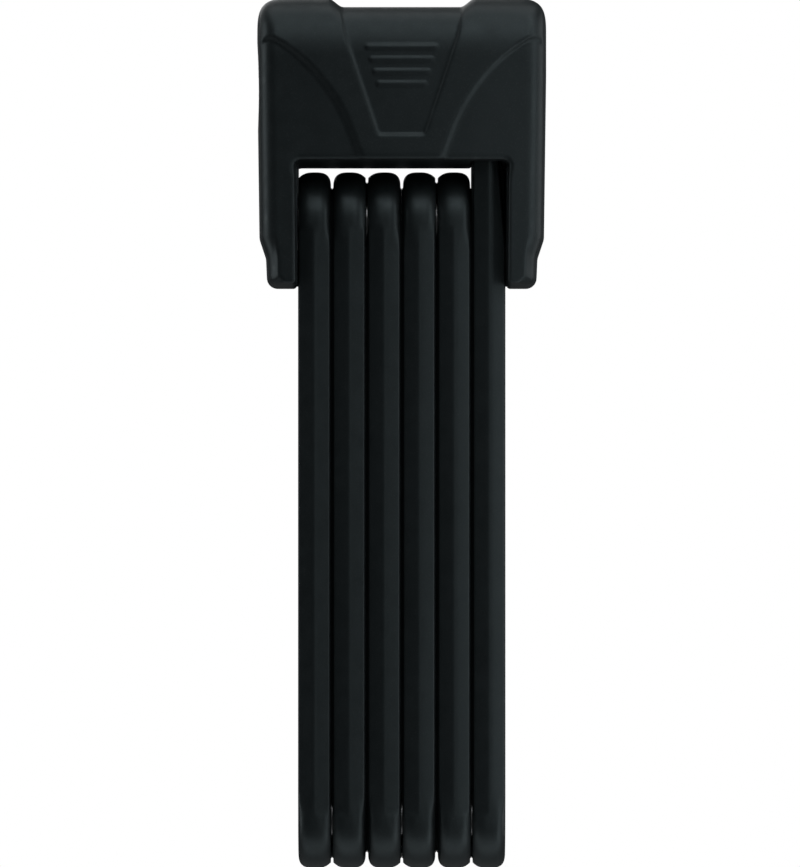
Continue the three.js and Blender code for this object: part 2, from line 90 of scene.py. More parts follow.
# Height of the ceiling of the body's gap, how far it rises at the front and rear faces, and
# the heights between which that rise comes in.
CEILING = {"low": 160.85, "front": 1.5, "rear": 2.2, "heights": (150, 161)}
CROWN = {"start": 186.0, "height": 14.5, "depth": 10.0}  # how the faces curve back at the top
SHOULDER = {"reach": 9.5, "power": 4}  # a power of 2 would be a circle's arc
SIDE_BULGE = 1.2  # how far the sides fall back from the parting line to the faces
PARTING = 0.02  # half the gap between the two halves
# Radii of the body's edges. Those along the gap are tight, the ceiling's less so between two
# heights, and the outer ones are reached between two distances from the gap.
BODY_EDGE = {"outer": 3.6, "gap": 0.5, "ceiling": 0.8, "parting": 0.4, "side": 0.7}
CEILING_EDGE = (157, 161.5)
NEAR_GAP = (2, 5)
RELIEF = {"channel": 0.6, "panel": 0.75, "rib": 0.27}  # depths, and the ribs' height
PANEL_SIDE = {"from": 14, "to": 30, "deeper": 0.35}  # the leg panels are deeper at the sides
FALL = {"channel": 0.9, "panel": 2.0, "narrower": 0.9}  # widths of the relief's sloped edges
RIB_RADIUS = 0.55
# The hollow inside the body: thickness of its walls and of the web over the gap.
HOLLOW = {"wall": 2.3, "web": 1.3, "half": 13.2, "round": 2.6}
# The raised inner wall of a leg, and the lip at its rear. inner and outer are in X, middle
# and half in depth for the lip and the wall, and heights in Z.
LEG_WALL = {"inner": 23.78, "outer": 28.2, "half": 11.0, "height": 150.0, "reach": 16.0}
LEG_LIP = {"inner": 23.86, "middle": 12.2, "half": 2.7, "clearance": 0.3, "overlap": 0.5}
SHELL_AXIS = 179.5  # height of the key cylinder's shell
PLUG_AXIS = 176.0
MOUTH = {"radius": 10.1, "floor": -28.5}  # the recess round the keyway
WINDOW = {"middle": -23.5, "half": 3.5}  # where the washer of link 1 meets the left leg
# The tongue's slot. It flares to the rear, which fades out between two heights.
SLOT = {"middle": 19.375, "half": 3.425, "front": -12.1, "top": 183.2, "flare": 0.01}
FLARE_ENDS = (164, 168)
# The grid on which the body's surface is worked out: its reach, and the size of its cells.
GRID = {"x": (-34.2, 34.3), "z": (132.4, 201.0), "front": (-17.6, 1.2), "rear": (-0.9, 17.8)}
CELL = {"quick": 0.8, "full": 0.42}


def link_x(k):
    return (k - (LINKS + 1) / 2) * PITCH


# ---- Meshes ----------------------------------------------------------------------------
def to_frame(points):
    """Points in millimetres above the links' lower ends, as metres in the frame."""
    points = np.array(points, float).reshape(-1, 3)
    points[:, 2] += LOW_END
    return points * MM


def make_piece(name, points, faces, material=None):
    mesh = bpy.data.meshes.new(name)
    mesh.from_pydata(to_frame(points).tolist(), [], [list(f) for f in faces])
    mesh.validate()
    mesh.polygons.foreach_set("use_smooth", [True] * len(mesh.polygons))
    piece = bpy.data.objects.new(name, mesh)
    bpy.context.scene.collection.objects.link(piece)
    if material:
        mesh.materials.append(material)
    return piece


def apply_modifiers(piece):
    graph = bpy.context.evaluated_depsgraph_get()
    mesh = bpy.data.meshes.new_from_object(piece.evaluated_get(graph))
    piece.modifiers.clear()
    old = piece.data
    piece.data = mesh
    bpy.data.meshes.remove(old)


def cut(piece, tools, operation="DIFFERENCE"):
    """Takes the tools away from the piece, or joins them to it, and removes them."""
    for tool in tools:
        change = piece.modifiers.new("cut", "BOOLEAN")
        change.operation = operation
        change.solver = "EXACT"
        change.object = tool
        apply_modifiers(piece)
    for tool in tools:
        bpy.data.objects.remove(tool)


def soften(piece, angle):
    """Smooth shading, with edges sharper than the angle kept."""
    mesh = piece.data
    mesh.polygons.foreach_set("use_smooth", [True] * len(mesh.polygons))
    mesh.set_sharp_from_angle(angle=math.radians(angle))


def lathe_x(name, profile, z, sides=64, material=None):
    """A solid turned about a line along X, at height z. The profile is (along, radius)."""
    turns = [2 * math.pi * i / sides for i in range(sides)]
    points, rings = [], []
    for along, radius in profile:
        if radius == 0:
            rings.append([len(points)] * sides)
            points.append((along, 0, z))
            continue
        rings.append(list(range(len(points), len(points) + sides)))
        points += [(along, radius * math.cos(t), z + radius * math.sin(t)) for t in turns]
    faces = []
    for one, two in zip(rings, rings[1:] + rings[:1]):
        for i in range(sides):
            j = (i + 1) % sides
            corners = list(dict.fromkeys([one[i], one[j], two[j], two[i]]))
            if len(corners) > 2:
                faces.append(corners)
    return make_piece(name, points, faces, material)


# ---- Shapes given by a distance --------------------------------------------------------
def smooth(low, high, value):
    """0 at low, 1 at high, and an even S between."""
    t = np.clip((value - low) / (high - low), 0, 1)
    return t * t * (3 - 2 * t)


def round_max(a, b, radius):
    """Where both are negative, with the edge between them rounded."""
    corner = np.hypot(np.maximum(a + radius, 0), np.maximum(b + radius, 0))
    return np.minimum(np.maximum(a, b), -radius) + corner


def polygon_distance(corners, u, v):
    """Distance from (u, v) to a closed outline, negative inside."""
    nearest = np.inf
    inside = False
    for (a, b), (c, d) in zip(corners, corners[1:] + corners[:1]):
        du, dv = c - a, d - b
        t = np.clip(((u - a) * du + (v - b) * dv) / (du * du + dv * dv), 0, 1)
        nearest = np.minimum(nearest, (u - a - t * du) ** 2 + (v - b - t * dv) ** 2)
        if dv:
            inside = inside ^ (((b <= v) != (d <= v)) & (u < a + (v - b) * du / dv))
    return np.where(inside, -1, 1) * np.sqrt(nearest)


def rounded(corners):
    """The outline through these corners, each (u, v, radius), with arcs at the corners."""
    steps = 7
    outline = []
    for i, (u, v, radius) in enumerate(corners):
        here = Vector((u, v))
        back = (Vector(corners[i - 1][:2]) - here).normalized()
        on = (Vector(corners[(i + 1) % len(corners)][:2]) - here).normalized()
        if not radius:
            outline.append((u, v))
            continue
        half = back.angle(on) / 2
        middle = here + (back + on).normalized() * radius / math.sin(half)
        start = here + back * radius / math.tan(half) - middle
        end = here + on * radius / math.tan(half) - middle
        first = math.atan2(start.y, start.x)
        sweep = math.remainder(math.atan2(end.y, end.x) - first, 2 * math.pi)
        for k in range(steps + 1):
            angle = first + sweep * k / steps
            across, up = radius * math.cos(angle), radius * math.sin(angle)
            outline.append((middle.x + across, middle.y + up))
    return outline


def mirrored(corners):
    """Right-hand corners from top to bottom, and the same on the left."""
    return corners + [(-u, v, r) for u, v, r in reversed(corners)]


def surface(distance, axes):
    """The surface where distance is zero, as points and quads, on a grid of cells."""
    xs, ys, zs = axes
    shape = (len(xs), len(ys), len(zs))
    d = distance(xs[:, None, None], ys[None, :, None], zs[None, None, :])
    d = np.ascontiguousarray(np.broadcast_to(d, shape))
    inside = d < 0
    cells = tuple(n - 1 for n in shape)
    count = np.zeros(cells, np.int8)
    for i in (0, 1):
        for j in (0, 1):
            for k in (0, 1):
                count += inside[i : cells[0] + i, j : cells[1] + j, k : cells[2] + k]
    mixed = (count > 0) & (count < 8)
    cell = np.argwhere(mixed)
    index = np.full(cells, -1)
    index[mixed] = np.arange(len(cell))
    grid = [np.asarray(a, float) for a in axes]
    total = np.zeros((len(cell), 3))
    hits = np.zeros(len(cell))
    for axis in range(3):
        for one in (0, 1):
            for two in (0, 1):
                start = cell.copy()
                start[:, (axis + 1) % 3] += one
                start[:, (axis + 2) % 3] += two
                end = start.copy()
                end[:, axis] += 1
                a, b = d[tuple(start.T)], d[tuple(end.T)]
                crosses = (a < 0) != (b < 0)
                t = np.where(crosses, a / np.where(crosses, a - b, 1), 0)
                for m in range(3):
                    low, high = grid[m][start[:, m]], grid[m][end[:, m]]
                    total[:, m] += crosses * (low + t * (high - low))
                hits += crosses
    points = total / hits[:, None]
    size = min(np.diff(a).min() for a in grid)
    points = settle(distance, points, size)
    faces = []
    for axis in range(3):
        u, v = (axis + 1) % 3, (axis + 2) % 3
        low = [slice(None)] * 3
        high = [slice(None)] * 3
        low[axis], high[axis] = slice(0, -1), slice(1, None)
        change = inside[tuple(low)] != inside[tuple(high)]
        edge = np.argwhere(change)
        edge = edge[(edge[:, u] > 0) & (edge[:, v] > 0)]
        edge = edge[(edge[:, u] < cells[u]) & (edge[:, v] < cells[v])]
        leaves = inside[tuple(edge.T)]
        ring = []
        for du, dv in ((-1, -1), (0, -1), (0, 0), (-1, 0)):
            at = edge.copy()
            at[:, u] += du
            at[:, v] += dv
            ring.append(index[tuple(at.T)])
        quads = np.stack(ring, 1)
        quads[~leaves] = quads[~leaves][:, ::-1]
        faces.append(quads)
    return points, np.concatenate(faces)


def settle(distance, points, size):
    """Moves points onto the surface along the steepest way, in short steps."""
    steps = 4
    h = 0.02
    flattest = 0.2
    longest = 0.4 * size
    for _ in range(steps):
        here = distance(*points.T)
        slope = np.empty_like(points)
        for m in range(3):
            ahead, behind = points.copy(), points.copy()
            ahead[:, m] += h
            behind[:, m] -= h
            slope[:, m] = (distance(*ahead.T) - distance(*behind.T)) / (2 * h)
        move = slope * (here / np.maximum((slope**2).sum(1), flattest))[:, None]
        length = np.linalg.norm(move, axis=1)
        move *= np.minimum(1, longest / np.maximum(length, 1e-9))[:, None]
        points = points - move
    return points


# ---- Lock body -------------------------------------------------------------------------
# The outline seen from the front, the dip in its top, the gap, and the relief.
BLOCK = rounded(
    mirrored(
        [
            (HALF_WIDTH, TOP, 1.0),
            (HALF_WIDTH, 182.0, 40.0),
            (32.7, 144.5, 4.0),
            (31.2, 140.0, 3.0),
            (30.9, 133.2, 2.4),
        ]
    )
)
SADDLE = {"low": 197.8, "rise": 2.0, "from": 13.3, "to": 17.0}
GAP = rounded(mirrored([(24.4, CEILING["low"], 1.4), (24.1, 120.0, 0)]))
CHANNEL = rounded(mirrored([(15.8, 206.0, 0), (13.3, 190.9, 12.0), (5.5, 167.7, 1.2)]))
RIBS = [(188.0, 7.6), (185.2, 6.8), (182.4, 6.0), (179.6, 5.2)]  # height and half length


def bend(start, pull, end):
    """Points along a curve from start to end that leans towards pull."""
    steps = 8
    points = []
    for i in range(1, steps + 1):
        t = i / steps
        ends = zip(start, pull, end)
        points.append(tuple(a * (1 - t) ** 2 + b * 2 * t * (1 - t) + c * t * t for a, b, c in ends))
    return points


# The sunk panel of a leg, on the right. Its upper edge is a curve that peaks at the side.
PANEL = [(40.0, 184.0), (34.2, 184.0)]
PANEL += bend((34.2, 184.0), (32.9, 191.9), (29.0, 190.3))
PANEL += bend((29.0, 190.3), (17.0, 183.9), (11.4, 170.9))
PANEL += [(9.1, 164.7), (6.0, 156.0), (6.0, 120.0), (40.0, 120.0)]


def relief(x, y, z):
    """How far the faces are sunk at each place, seen from the front."""
    channel = polygon_distance(CHANNEL, x, z)
    panel = polygon_distance(PANEL, abs(x), z)
    sunk = RELIEF["channel"] * smooth(-0.1, FALL["channel"], -channel)
    aside = smooth(PANEL_SIDE["from"], PANEL_SIDE["to"], abs(x))
    deep = RELIEF["panel"] + PANEL_SIDE["deeper"] * aside
    sunk = sunk + deep * smooth(-0.2, FALL["panel"] - FALL["narrower"] * aside, -panel)
    for height, half in RIBS:
        rib = np.hypot(np.maximum(abs(x) - half, 0), z - height) - RIB_RADIUS
        sunk = sunk - RELIEF["rib"] * smooth(-0.35, 0.3, -rib) * (y < 0)
    return sunk


def tapered(z, most=1.0):
    """How much narrower the last link's cover is on its right at this height."""
    share = (z - TAPER["start"]) / (TAPER["top"] - TAPER["start"])
    return (HALF_COVER - TAPER["right"]) * np.clip(share, 0, most)


def leg_fill(x, y, z):
    """The raised inner wall of each leg, set back from both faces, which shuts the gap
    beside the outer links. It spreads a little towards the rear and ends in a lip there,
    which leans in with the last link's taper on the right. Behind that link, the lip
    comes in as far as what swings past it lets it."""
    spread = 0.02 * (y + LEG_WALL["half"])
    farthest = 1.2  # the lip may lean past the taper's end by a fifth
    wall = round_max(LEG_WALL["inner"] + spread - abs(x), abs(y) - LEG_WALL["half"], 0.6)
    clear = END + LEG_LIP["clearance"]
    passing = HIGH_PIVOT + np.sqrt(np.maximum(y**2 + (z - HIGH_PIVOT) ** 2 - clear**2, 0))
    own = tapered(z)
    more = np.clip(tapered(passing, farthest) - own, 0, LEG_LIP["overlap"])
    lean = own + more * smooth(clear, clear + 0.6, y)
    inner = LEG_LIP["inner"] - lean * (x > 0)
    lip = round_max(inner - abs(x), abs(y - LEG_LIP["middle"]) - LEG_LIP["half"], 0.4)
    walls = np.maximum(np.minimum(wall, lip), abs(x) - LEG_WALL["outer"])
    return np.maximum(walls, abs(z - LEG_WALL["height"]) - LEG_WALL["reach"])


def shoulder(x, z):
    """The soft outer corners of the shoulders: an arc a little squarer than a circle."""
    reach, power = SHOULDER["reach"], SHOULDER["power"]
    out = np.maximum(abs(x) - HALF_WIDTH + reach, 0)
    up = np.maximum(z - TOP + reach, 0)
    return (out**power + up**power) ** (1 / power) - reach


def crown(z):
    """How far the faces curve back above the panels, along part of an ellipse."""
    up = np.clip((z - CROWN["start"]) / CROWN["height"], 0, 0.98)
    return CROWN["depth"] * (1 - np.sqrt(1 - up**2))


def body_block(x, z):
    """Distance to the body's outline seen from the front, without its gap."""
    block = np.maximum(polygon_distance(BLOCK, x, z), shoulder(x, z))
    saddle = SADDLE["low"] + SADDLE["rise"] * smooth(SADDLE["from"], SADDLE["to"], abs(x))
    return np.maximum(block, z - saddle)


def body_gap(x, y, z):
    """Distance to the gap between the legs. Its ceiling rises towards both faces."""
    front = CEILING["front"] * smooth(0, HALF_DEPTH + 1, -y)
    arch = front + CEILING["rear"] * np.maximum(y, 0) / HALF_DEPTH
    return polygon_distance(GAP, x, z - arch * smooth(*CEILING["heights"], z))


def tongue_slot(x, y, z):
    """Distance to the slot for the last link's tongue, open below and at the rear."""
    flare = SLOT["flare"] * (y - SLOT["front"]) * (1 - smooth(*FLARE_ENDS, z))
    slot = round_max(abs(x - SLOT["middle"] - flare) - SLOT["half"] - flare, z - SLOT["top"], 0.6)
    return round_max(slot, SLOT["front"] - y, 0.6)


def body_solid(x, y, z):
    """Distance to the lock body's cover, both halves together."""
    across = (y / HALF_DEPTH) ** 2
    block = body_block(x, z)
    gap = body_gap(x, y, z)
    walls = round_max(block + SIDE_BULGE * across, -gap, BODY_EDGE["side"])
    lip = BODY_EDGE["gap"] + BODY_EDGE["ceiling"] * smooth(*CEILING_EDGE, z)
    edge = lip + (BODY_EDGE["outer"] - lip) * smooth(*NEAR_GAP, gap)
    fallen = crown(z)
    face = abs(y) - HALF_DEPTH + relief(x, y, z) + fallen
    solid = round_max(walls, face, edge)
    hollow = round_max(block + HOLLOW["wall"], HOLLOW["web"] - gap, 1.0)
    hollow = round_max(hollow, abs(y) - HOLLOW["half"] + 0.5 * fallen, HOLLOW["round"])
    mouth = np.maximum(np.hypot(y, z - SHELL_AXIS) - MOUTH["radius"], x - MOUTH["floor"])
    window = np.hypot(y, z - HIGH_PIVOT) - WASHER["window"]
    window = np.maximum(window, abs(x - WINDOW["middle"]) - WINDOW["half"])
    solid = np.maximum(solid, -hollow)
    solid = round_max(solid, -tongue_slot(x, y, z), 0.5)
    solid = np.minimum(solid, leg_fill(x, y, z))
    solid = round_max(solid, -mouth, 0.35)
    return round_max(solid, -window, 0.3)


def front_half(x, y, z):
    return round_max(body_solid(x, y, z), y + PARTING, BODY_EDGE["parting"])


def rear_half(x, y, z):
    return round_max(body_solid(x, y, z), PARTING - y, BODY_EDGE["parting"])


def body_cover(name, distance, depth, material):
    cell = CELL["full"]
    axes = [np.arange(*reach, cell) for reach in (GRID["x"], depth, GRID["z"])]
    points, faces = surface(distance, axes)
    return make_piece(name, points, faces, material)


# ---- Links -----------------------------------------------------------------------------
# Distances from the middle of a cover's narrow edge at which its shape is worked out.
ACROSS = [0.12, 0.3, 0.6, 1.0, 1.5, 2.0, 2.5, 2.85, 3.05, 3.15, 3.25, 3.4, 3.55, 3.65, 3.7]
# The two facets each side of a crest, and how far the round ends fall away at their sides.
FACET = {"slope": 0.346, "round": 0.5}
CHAMFER = {"slope": 2.44, "start": -7.35, "round": 0.14}
END_FALL = {"joined": 1.3, "free": 3.7}
# Distances past a pivot over which a round end turns into the straight, crested edge.
TURN = {"joined": (0.6, 2.4), "free": (0.0, 6.0)}


def crested(x):
    """How far a cover's straight edge falls away from its crest: two facets a side."""
    facet = FACET["slope"] * (math.hypot(x, FACET["round"]) - FACET["round"])
    chamfer = CHAMFER["slope"] * x + CHAMFER["start"]
    return 0.5 * (facet + chamfer + math.hypot(facet - chamfer, CHAMFER["round"]))


def joined_end(x):
    return END_FALL["joined"] * (x / HALF_COVER) ** 3


def free_end(x):
    return END_FALL["free"] * (1 - (1 - (x / (HALF_COVER + 0.03)) ** 3) ** (1 / 3))


def cover_row(middle, out_y, out_z, past, side, joined, pad, share):
    """Points on one side of a cover's narrow edge, from its crest to its broad face. With pad,
    the face stands a little proud, to meet the next link's."""
    starts, ends = TURN["joined" if joined else "free"]
    straight = float(smooth(starts, ends, past))
    end = joined_end if joined else free_end
    row = [(x, crested(x) * straight + end(x) * (1 - straight)) for x in ACROSS]
    rim = row[-1][1] + 0.15
    row.append((HALF_COVER, rim))
    if pad:  # a short slope up to the pad
        row.append((HALF_COVER + 0.04, rim + 0.8))
        row.append((PAD["face"] - 0.05, rim + 0.95))
        row.append((PAD["face"], rim + 1.2))
    return [
        (side * x * share, out_y * (END - fall), middle + out_z * (END - fall))
        for x, fall in row
    ]


def cover_stations(top):
    """Places down one narrow edge: height, outward way in y and z, and distance past a pivot."""
    steps = 20
    turn = [math.pi / 2 * i / steps for i in range(steps)]
    rise = [0, 0.4, 0.8, 1.2, 1.6, 2.0, 2.6, 3.4, 4.4, 5.6, 7.0, 9.0, 14.0, 22.0, 40.0]
    straight = 60  # past both ends' roundings
    low = [(LOW_PIVOT, math.sin(t), -math.cos(t), 0) for t in turn]
    low += [(LOW_PIVOT + r, 1, 0, r) for r in rise]
    if top is None:
        high = [(HIGH_PIVOT, math.sin(t), math.cos(t), 0) for t in turn]
        high += [(HIGH_PIVOT - r, 1, 0, r) for r in rise]
    else:
        high = [(z, 1, 0, straight) for z in np.linspace(top, TAPER["start"], 7)]
        high += [(z, 1, 0, straight) for z in (135.0, 120.0, 100.0)]
    return high + low[::-1]


def cover_shell(name, x, low_side, first, top):
    """The outside of a link's cover, as a closed solid. low_side is where it is joined below.
    The first link has no pad on its left, and the last, which tapers to top, none on its right."""
    rings = []
    for middle, out_y, out_z, past in cover_stations(top):
        at_low = middle < (LOW_PIVOT + HIGH_PIVOT) / 2
        rows = {}
        for side in (-1, 1):
            joined = side == low_side if at_low else side == -low_side
            open_side = (first and side < 0) or (top is not None and side > 0)
            share = 1.0
            if top is not None and side > 0:
                above = np.clip((middle - TAPER["start"]) / (top - TAPER["start"]), 0, 1)
                share += above * (TAPER["right"] / HALF_COVER - 1)
            rows[side] = [
                cover_row(middle, turn * out_y, out_z, past, side, joined, not open_side, share)
                for turn in (-1, 1)
            ]
        crests = [(0, turn * out_y * END, middle + out_z * END) for turn in (-1, 1)]
        front = rows[-1][0][::-1] + [crests[0]] + rows[1][0]
        rear = rows[1][1][::-1] + [crests[1]] + rows[-1][1]
        rings.append(front + rear)
    return loft(name, [[(x + a, b, c) for a, b, c in ring] for ring in rings], top is not None)


def loft(name, rings, capped):
    """Joins closed rings of points one after the other. capped closes the first ring."""
    count = len(rings[0])
    points = [p for ring in rings for p in ring]
    faces = []
    for i in range(len(rings) - 1):
        for j in range(count):
            k = (j + 1) % count
            faces.append((i * count + j, i * count + k, (i + 1) * count + k, (i + 1) * count + j))
    if capped:
        faces.append(tuple(range(count - 1, -1, -1)))
    piece = make_piece(name, points, faces)
    weld(piece)
    return piece


def weld(piece):
    """Joins points that coincide and turns every face outwards."""
    mesh = bmesh.new()
    mesh.from_mesh(piece.data)
    bmesh.ops.remove_doubles(mesh, verts=mesh.verts, dist=1e-6)
    bmesh.ops.dissolve_degenerate(mesh, edges=mesh.edges, dist=1e-7)
    bmesh.ops.recalc_face_normals(mesh, faces=mesh.faces)
    mesh.to_mesh(piece.data)
    mesh.free()


def slab(x0, x1, y0, y1, z0, z1):
    """A square-edged block, used as a cutter."""
    ring = [(y0, z0), (y1, z0), (y1, z1), (y0, z1)]
    points = [(x, y, z) for x in (x0, x1) for y, z in ring]
    faces = [(0, 1, 2, 3), (7, 6, 5, 4)]
    faces += [(i, i + 4, (i + 1) % 4 + 4, (i + 1) % 4) for i in range(4)]
    piece = make_piece("cutter", points, faces)
    weld(piece)
    return piece


def rod(radius, x0, x1, z, sides=64):
    """A round bar along X, used as a cutter."""
    return lathe_x("cutter", [(x0, 0), (x0, radius), (x1, radius), (x1, 0)], z, sides)


def stadium(radius, high):
    """Two round ends joined by straight sides, in (y, z)."""
    steps = 24
    turn = [math.pi * i / steps for i in range(steps + 1)]
    upper = [(radius * math.cos(t), high + radius * math.sin(t)) for t in turn]
    return upper + [(-radius * math.cos(t), LOW_PIVOT - radius * math.sin(t)) for t in turn]


def extrude(name, near, far):
    """A solid between two matching outlines."""
    count = len(near)
    faces = [tuple(range(count)), tuple(range(2 * count - 1, count - 1, -1))]
    faces += [(i, i + count, (i + 1) % count + count, (i + 1) % count) for i in range(count)]
    piece = make_piece(name, near + far, faces)
    weld(piece)
    return piece


def plate(name, outline, x0, x1):
    """An outline in (y, z), from x0 to x1."""
    near, far = ([(x, y, z) for y, z in outline] for x in (x0, x1))
    return extrude(name, near, far)


def prism(outline, x):
    """A cutter with an outline in (x, z), through the whole depth."""
    near, far = ([(x + u, y, v) for u, v in outline] for y in (-THROUGH, THROUGH))
    return extrude("cutter", near, far)


def bevel(piece, width, angle=30, segments=3):
    change = piece.modifiers.new("bevel", "BEVEL")
    change.width = width * MM
    change.segments = segments
    change.limit_method = "ANGLE"
    change.angle_limit = math.radians(angle)
    apply_modifiers(piece)


def joint_cutters(x, side, z):
    """The channel and windows in a cover where a link is joined to its neighbour."""
    reach = PAD["channel"]
    near, far = sorted((x + side * PAD["groove"], x + side * BESIDE))
    channel = slab(near, far, -THROUGH, THROUGH, z - reach, z + reach)
    washer_window = rod(WASHER["window"], *sorted((x, x + side * BESIDE)), z)
    head_window = rod(RIVET["head"] + RIVET["room"], *sorted((x, x - side * BESIDE)), z)
    return [channel, washer_window, head_window]


def link_cover(k, material):
    x = link_x(k)
    low_side = 1 if k % 2 else -1
    last = k == LINKS
    top = TAPER["top"] if last else None
    cover = cover_shell(f"cover_of_link_{k}", x, low_side, k == 1, top)
    half = STEEL["half"] + STEEL["pocket"]
    radius = STEEL["radius"] + STEEL["pocket"]
    high = 195 if last else HIGH_PIVOT  # the last pocket is open on top
    pocket = plate("cutter", stadium(radius, high), x - half, x + half)
    if last:
        narrow_pocket(pocket, x)
    cut(cover, [pocket] + joint_cutters(x, low_side, LOW_PIVOT))
    if not last:
        cut(cover, joint_cutters(x, -low_side, HIGH_PIVOT))
    soften(cover, 32)
    cover.data.materials.append(material)
    return cover


def narrow_pocket(pocket, x):
    """Narrows the last cover's pocket on its right, as the tongue narrows."""
    half = TONGUE["right"] + STEEL["pocket"]
    outside = [(BESIDE, TONGUE["start"]), (BESIDE, 200), (half, 200), (half, TONGUE["full"])]
    outside.append((STEEL["half"] + STEEL["pocket"], TONGUE["start"]))
    cut(pocket, [prism(outside, x)])


def tongue_outline():
    """The last link in outline: round below, and an arc about the body's pivot on top."""
    half, reach = STEEL["radius"], TONGUE["reach"]
    steps, half_sweep = 24, 6
    end = math.asin(half / reach)
    turn = [math.pi * i / steps for i in range(steps + 1)]
    sweep = [end * (1 - i / half_sweep) for i in range(2 * half_sweep + 1)]
    upper = [(reach * math.sin(t), HIGH_PIVOT + reach * math.cos(t)) for t in sweep]
    return upper + [(-half * math.cos(t), LOW_PIVOT - half * math.sin(t)) for t in turn]


def link_bar(k, material):
    x = link_x(k)
    half = STEEL["half"]
    last = k == LINKS
    outline = tongue_outline() if last else stadium(STEEL["radius"], HIGH_PIVOT)
    bar = plate(f"steel_of_link_{k}", outline, x - half, x + half)
    if last:
        right = TONGUE["right"]
        side = [(right, TONGUE["full"]), (half + 0.01, TONGUE["start"]), (9, TONGUE["start"])]
        cut(bar, [prism(side + [(9, 200), (right, 200)], x)])
    bevel(bar, 0.45)
    low_hole = rod(RIVET["hole"], x - BESIDE, x + BESIDE, LOW_PIVOT)
    if last:
        high_hole = rod(TONGUE["hole"], x - BESIDE, x + BESIDE, PLUG_AXIS)
    else:
        high_hole = rod(RIVET["hole"], x - BESIDE, x + BESIDE, HIGH_PIVOT)
    cut(bar, [low_hole, high_hole])
    soften(bar, 25)
    bar.data.materials.append(material)
    return bar


def rivet(name, x, z, left, right, material):
    """A rivet whose heads sit from left[1] to left[0] and from right[0] to right[1] of x."""
    dome = [(0.0, 0.0), (2.2, 0.02), (4.0, 0.12), (5.0, 0.32), (5.4, 0.6)]
    profile = [(x + left[0] + fall, radius) for radius, fall in dome]
    profile += [(x + left[1] - 0.08, RIVET["head"]), (x + left[1], RIVET["head"] - 0.1)]
    profile += [(x + left[1], RIVET["shank"]), (x + right[0], RIVET["shank"])]
    profile += [(x + right[0], RIVET["head"] - 0.1), (x + right[0] + 0.08, RIVET["head"])]
    profile += [(x + right[1] - fall, radius) for radius, fall in reversed(dome)]
    piece = lathe_x(name, profile, z, 72, material)
    weld(piece)
    soften(piece, 40)
    return piece


def washer(name, x, z, low, high, material):
    """A flat ring from low to high of x."""
    edge = 0.15
    outer, inner = WASHER["outer"], RIVET["hole"]
    profile = [(x + low, inner + edge), (x + low, outer - edge), (x + low + edge, outer)]
    profile += [(x + high - edge, outer), (x + high, outer - edge), (x + high, inner + edge)]
    profile += [(x + high - edge, inner), (x + low + edge, inner)]
    piece = lathe_x(name, profile, z, 72, material)
    weld(piece)
    soften(piece, 25)
    return piece


# ---- Cylinder --------------------------------------------------------------------------
def bezel(material):
    """The dark ring round the keyway, with a dished face."""
    left, right = -32.6, -31.2
    outer, hole = 9.8, 5.5
    profile = [(right, 0), (right, outer), (left + 0.5, outer), (left + 0.15, outer - 0.15)]
    dish = left + 0.35
    profile += [(left, outer - 0.5), (left, outer - 1.1), (dish, outer - 1.7), (dish, 0)]
    ring = lathe_x("keyway_ring", profile, SHELL_AXIS, 96)
    weld(ring)
    cut(ring, [rod(hole, left - 2, right + 2, PLUG_AXIS, 96)])
    bevel(ring, 0.12, 40, 2)
    soften(ring, 30)
    ring.data.materials.append(material)
    return ring


def plug(material):
    """The plug that the key turns: a keyway with a side ward, a ring groove, and a square end."""
    face, keyway_end, neck, end = -32.4, -9.5, -5.0, -3.1
    radius, neck_radius = 5.2, 3.4
    half = 2.3  # of the square end
    profile = [(end, 0), (end, neck_radius), (neck, neck_radius), (neck, radius)]
    profile += [(face + 0.3, radius), (face, 4.9), (face, 0)]
    body = lathe_x("turning_plug", profile, PLUG_AXIS, 96)
    weld(body)
    square = slab(end - 0.4, 0.4, -half, half, PLUG_AXIS - half, PLUG_AXIS + half)
    cut(body, [square], "UNION")
    keyway = slab(face - 2, keyway_end, -1.05, 1.05, PLUG_AXIS - 4.1, PLUG_AXIS + 4)
    ward = slab(face - 2, keyway_end, 0.9, 2, PLUG_AXIS - 1.6, PLUG_AXIS - 0.4)
    groove = lathe_x("cutter", [(-4.8, 2.8), (-4.8, 4), (-3.8, 4), (-3.8, 2.8)], PLUG_AXIS)
    weld(groove)
    cut(body, [keyway, ward, groove])
    bevel(body, 0.1, 60, 2)
    soften(body, 30)
    body.data.materials.append(material)
    return body


# ---- Materials -------------------------------------------------------------------------
COOL_SHINE = (0.76, 0.95, 1.0, 1)  # the plastics' shine is a little blue-green


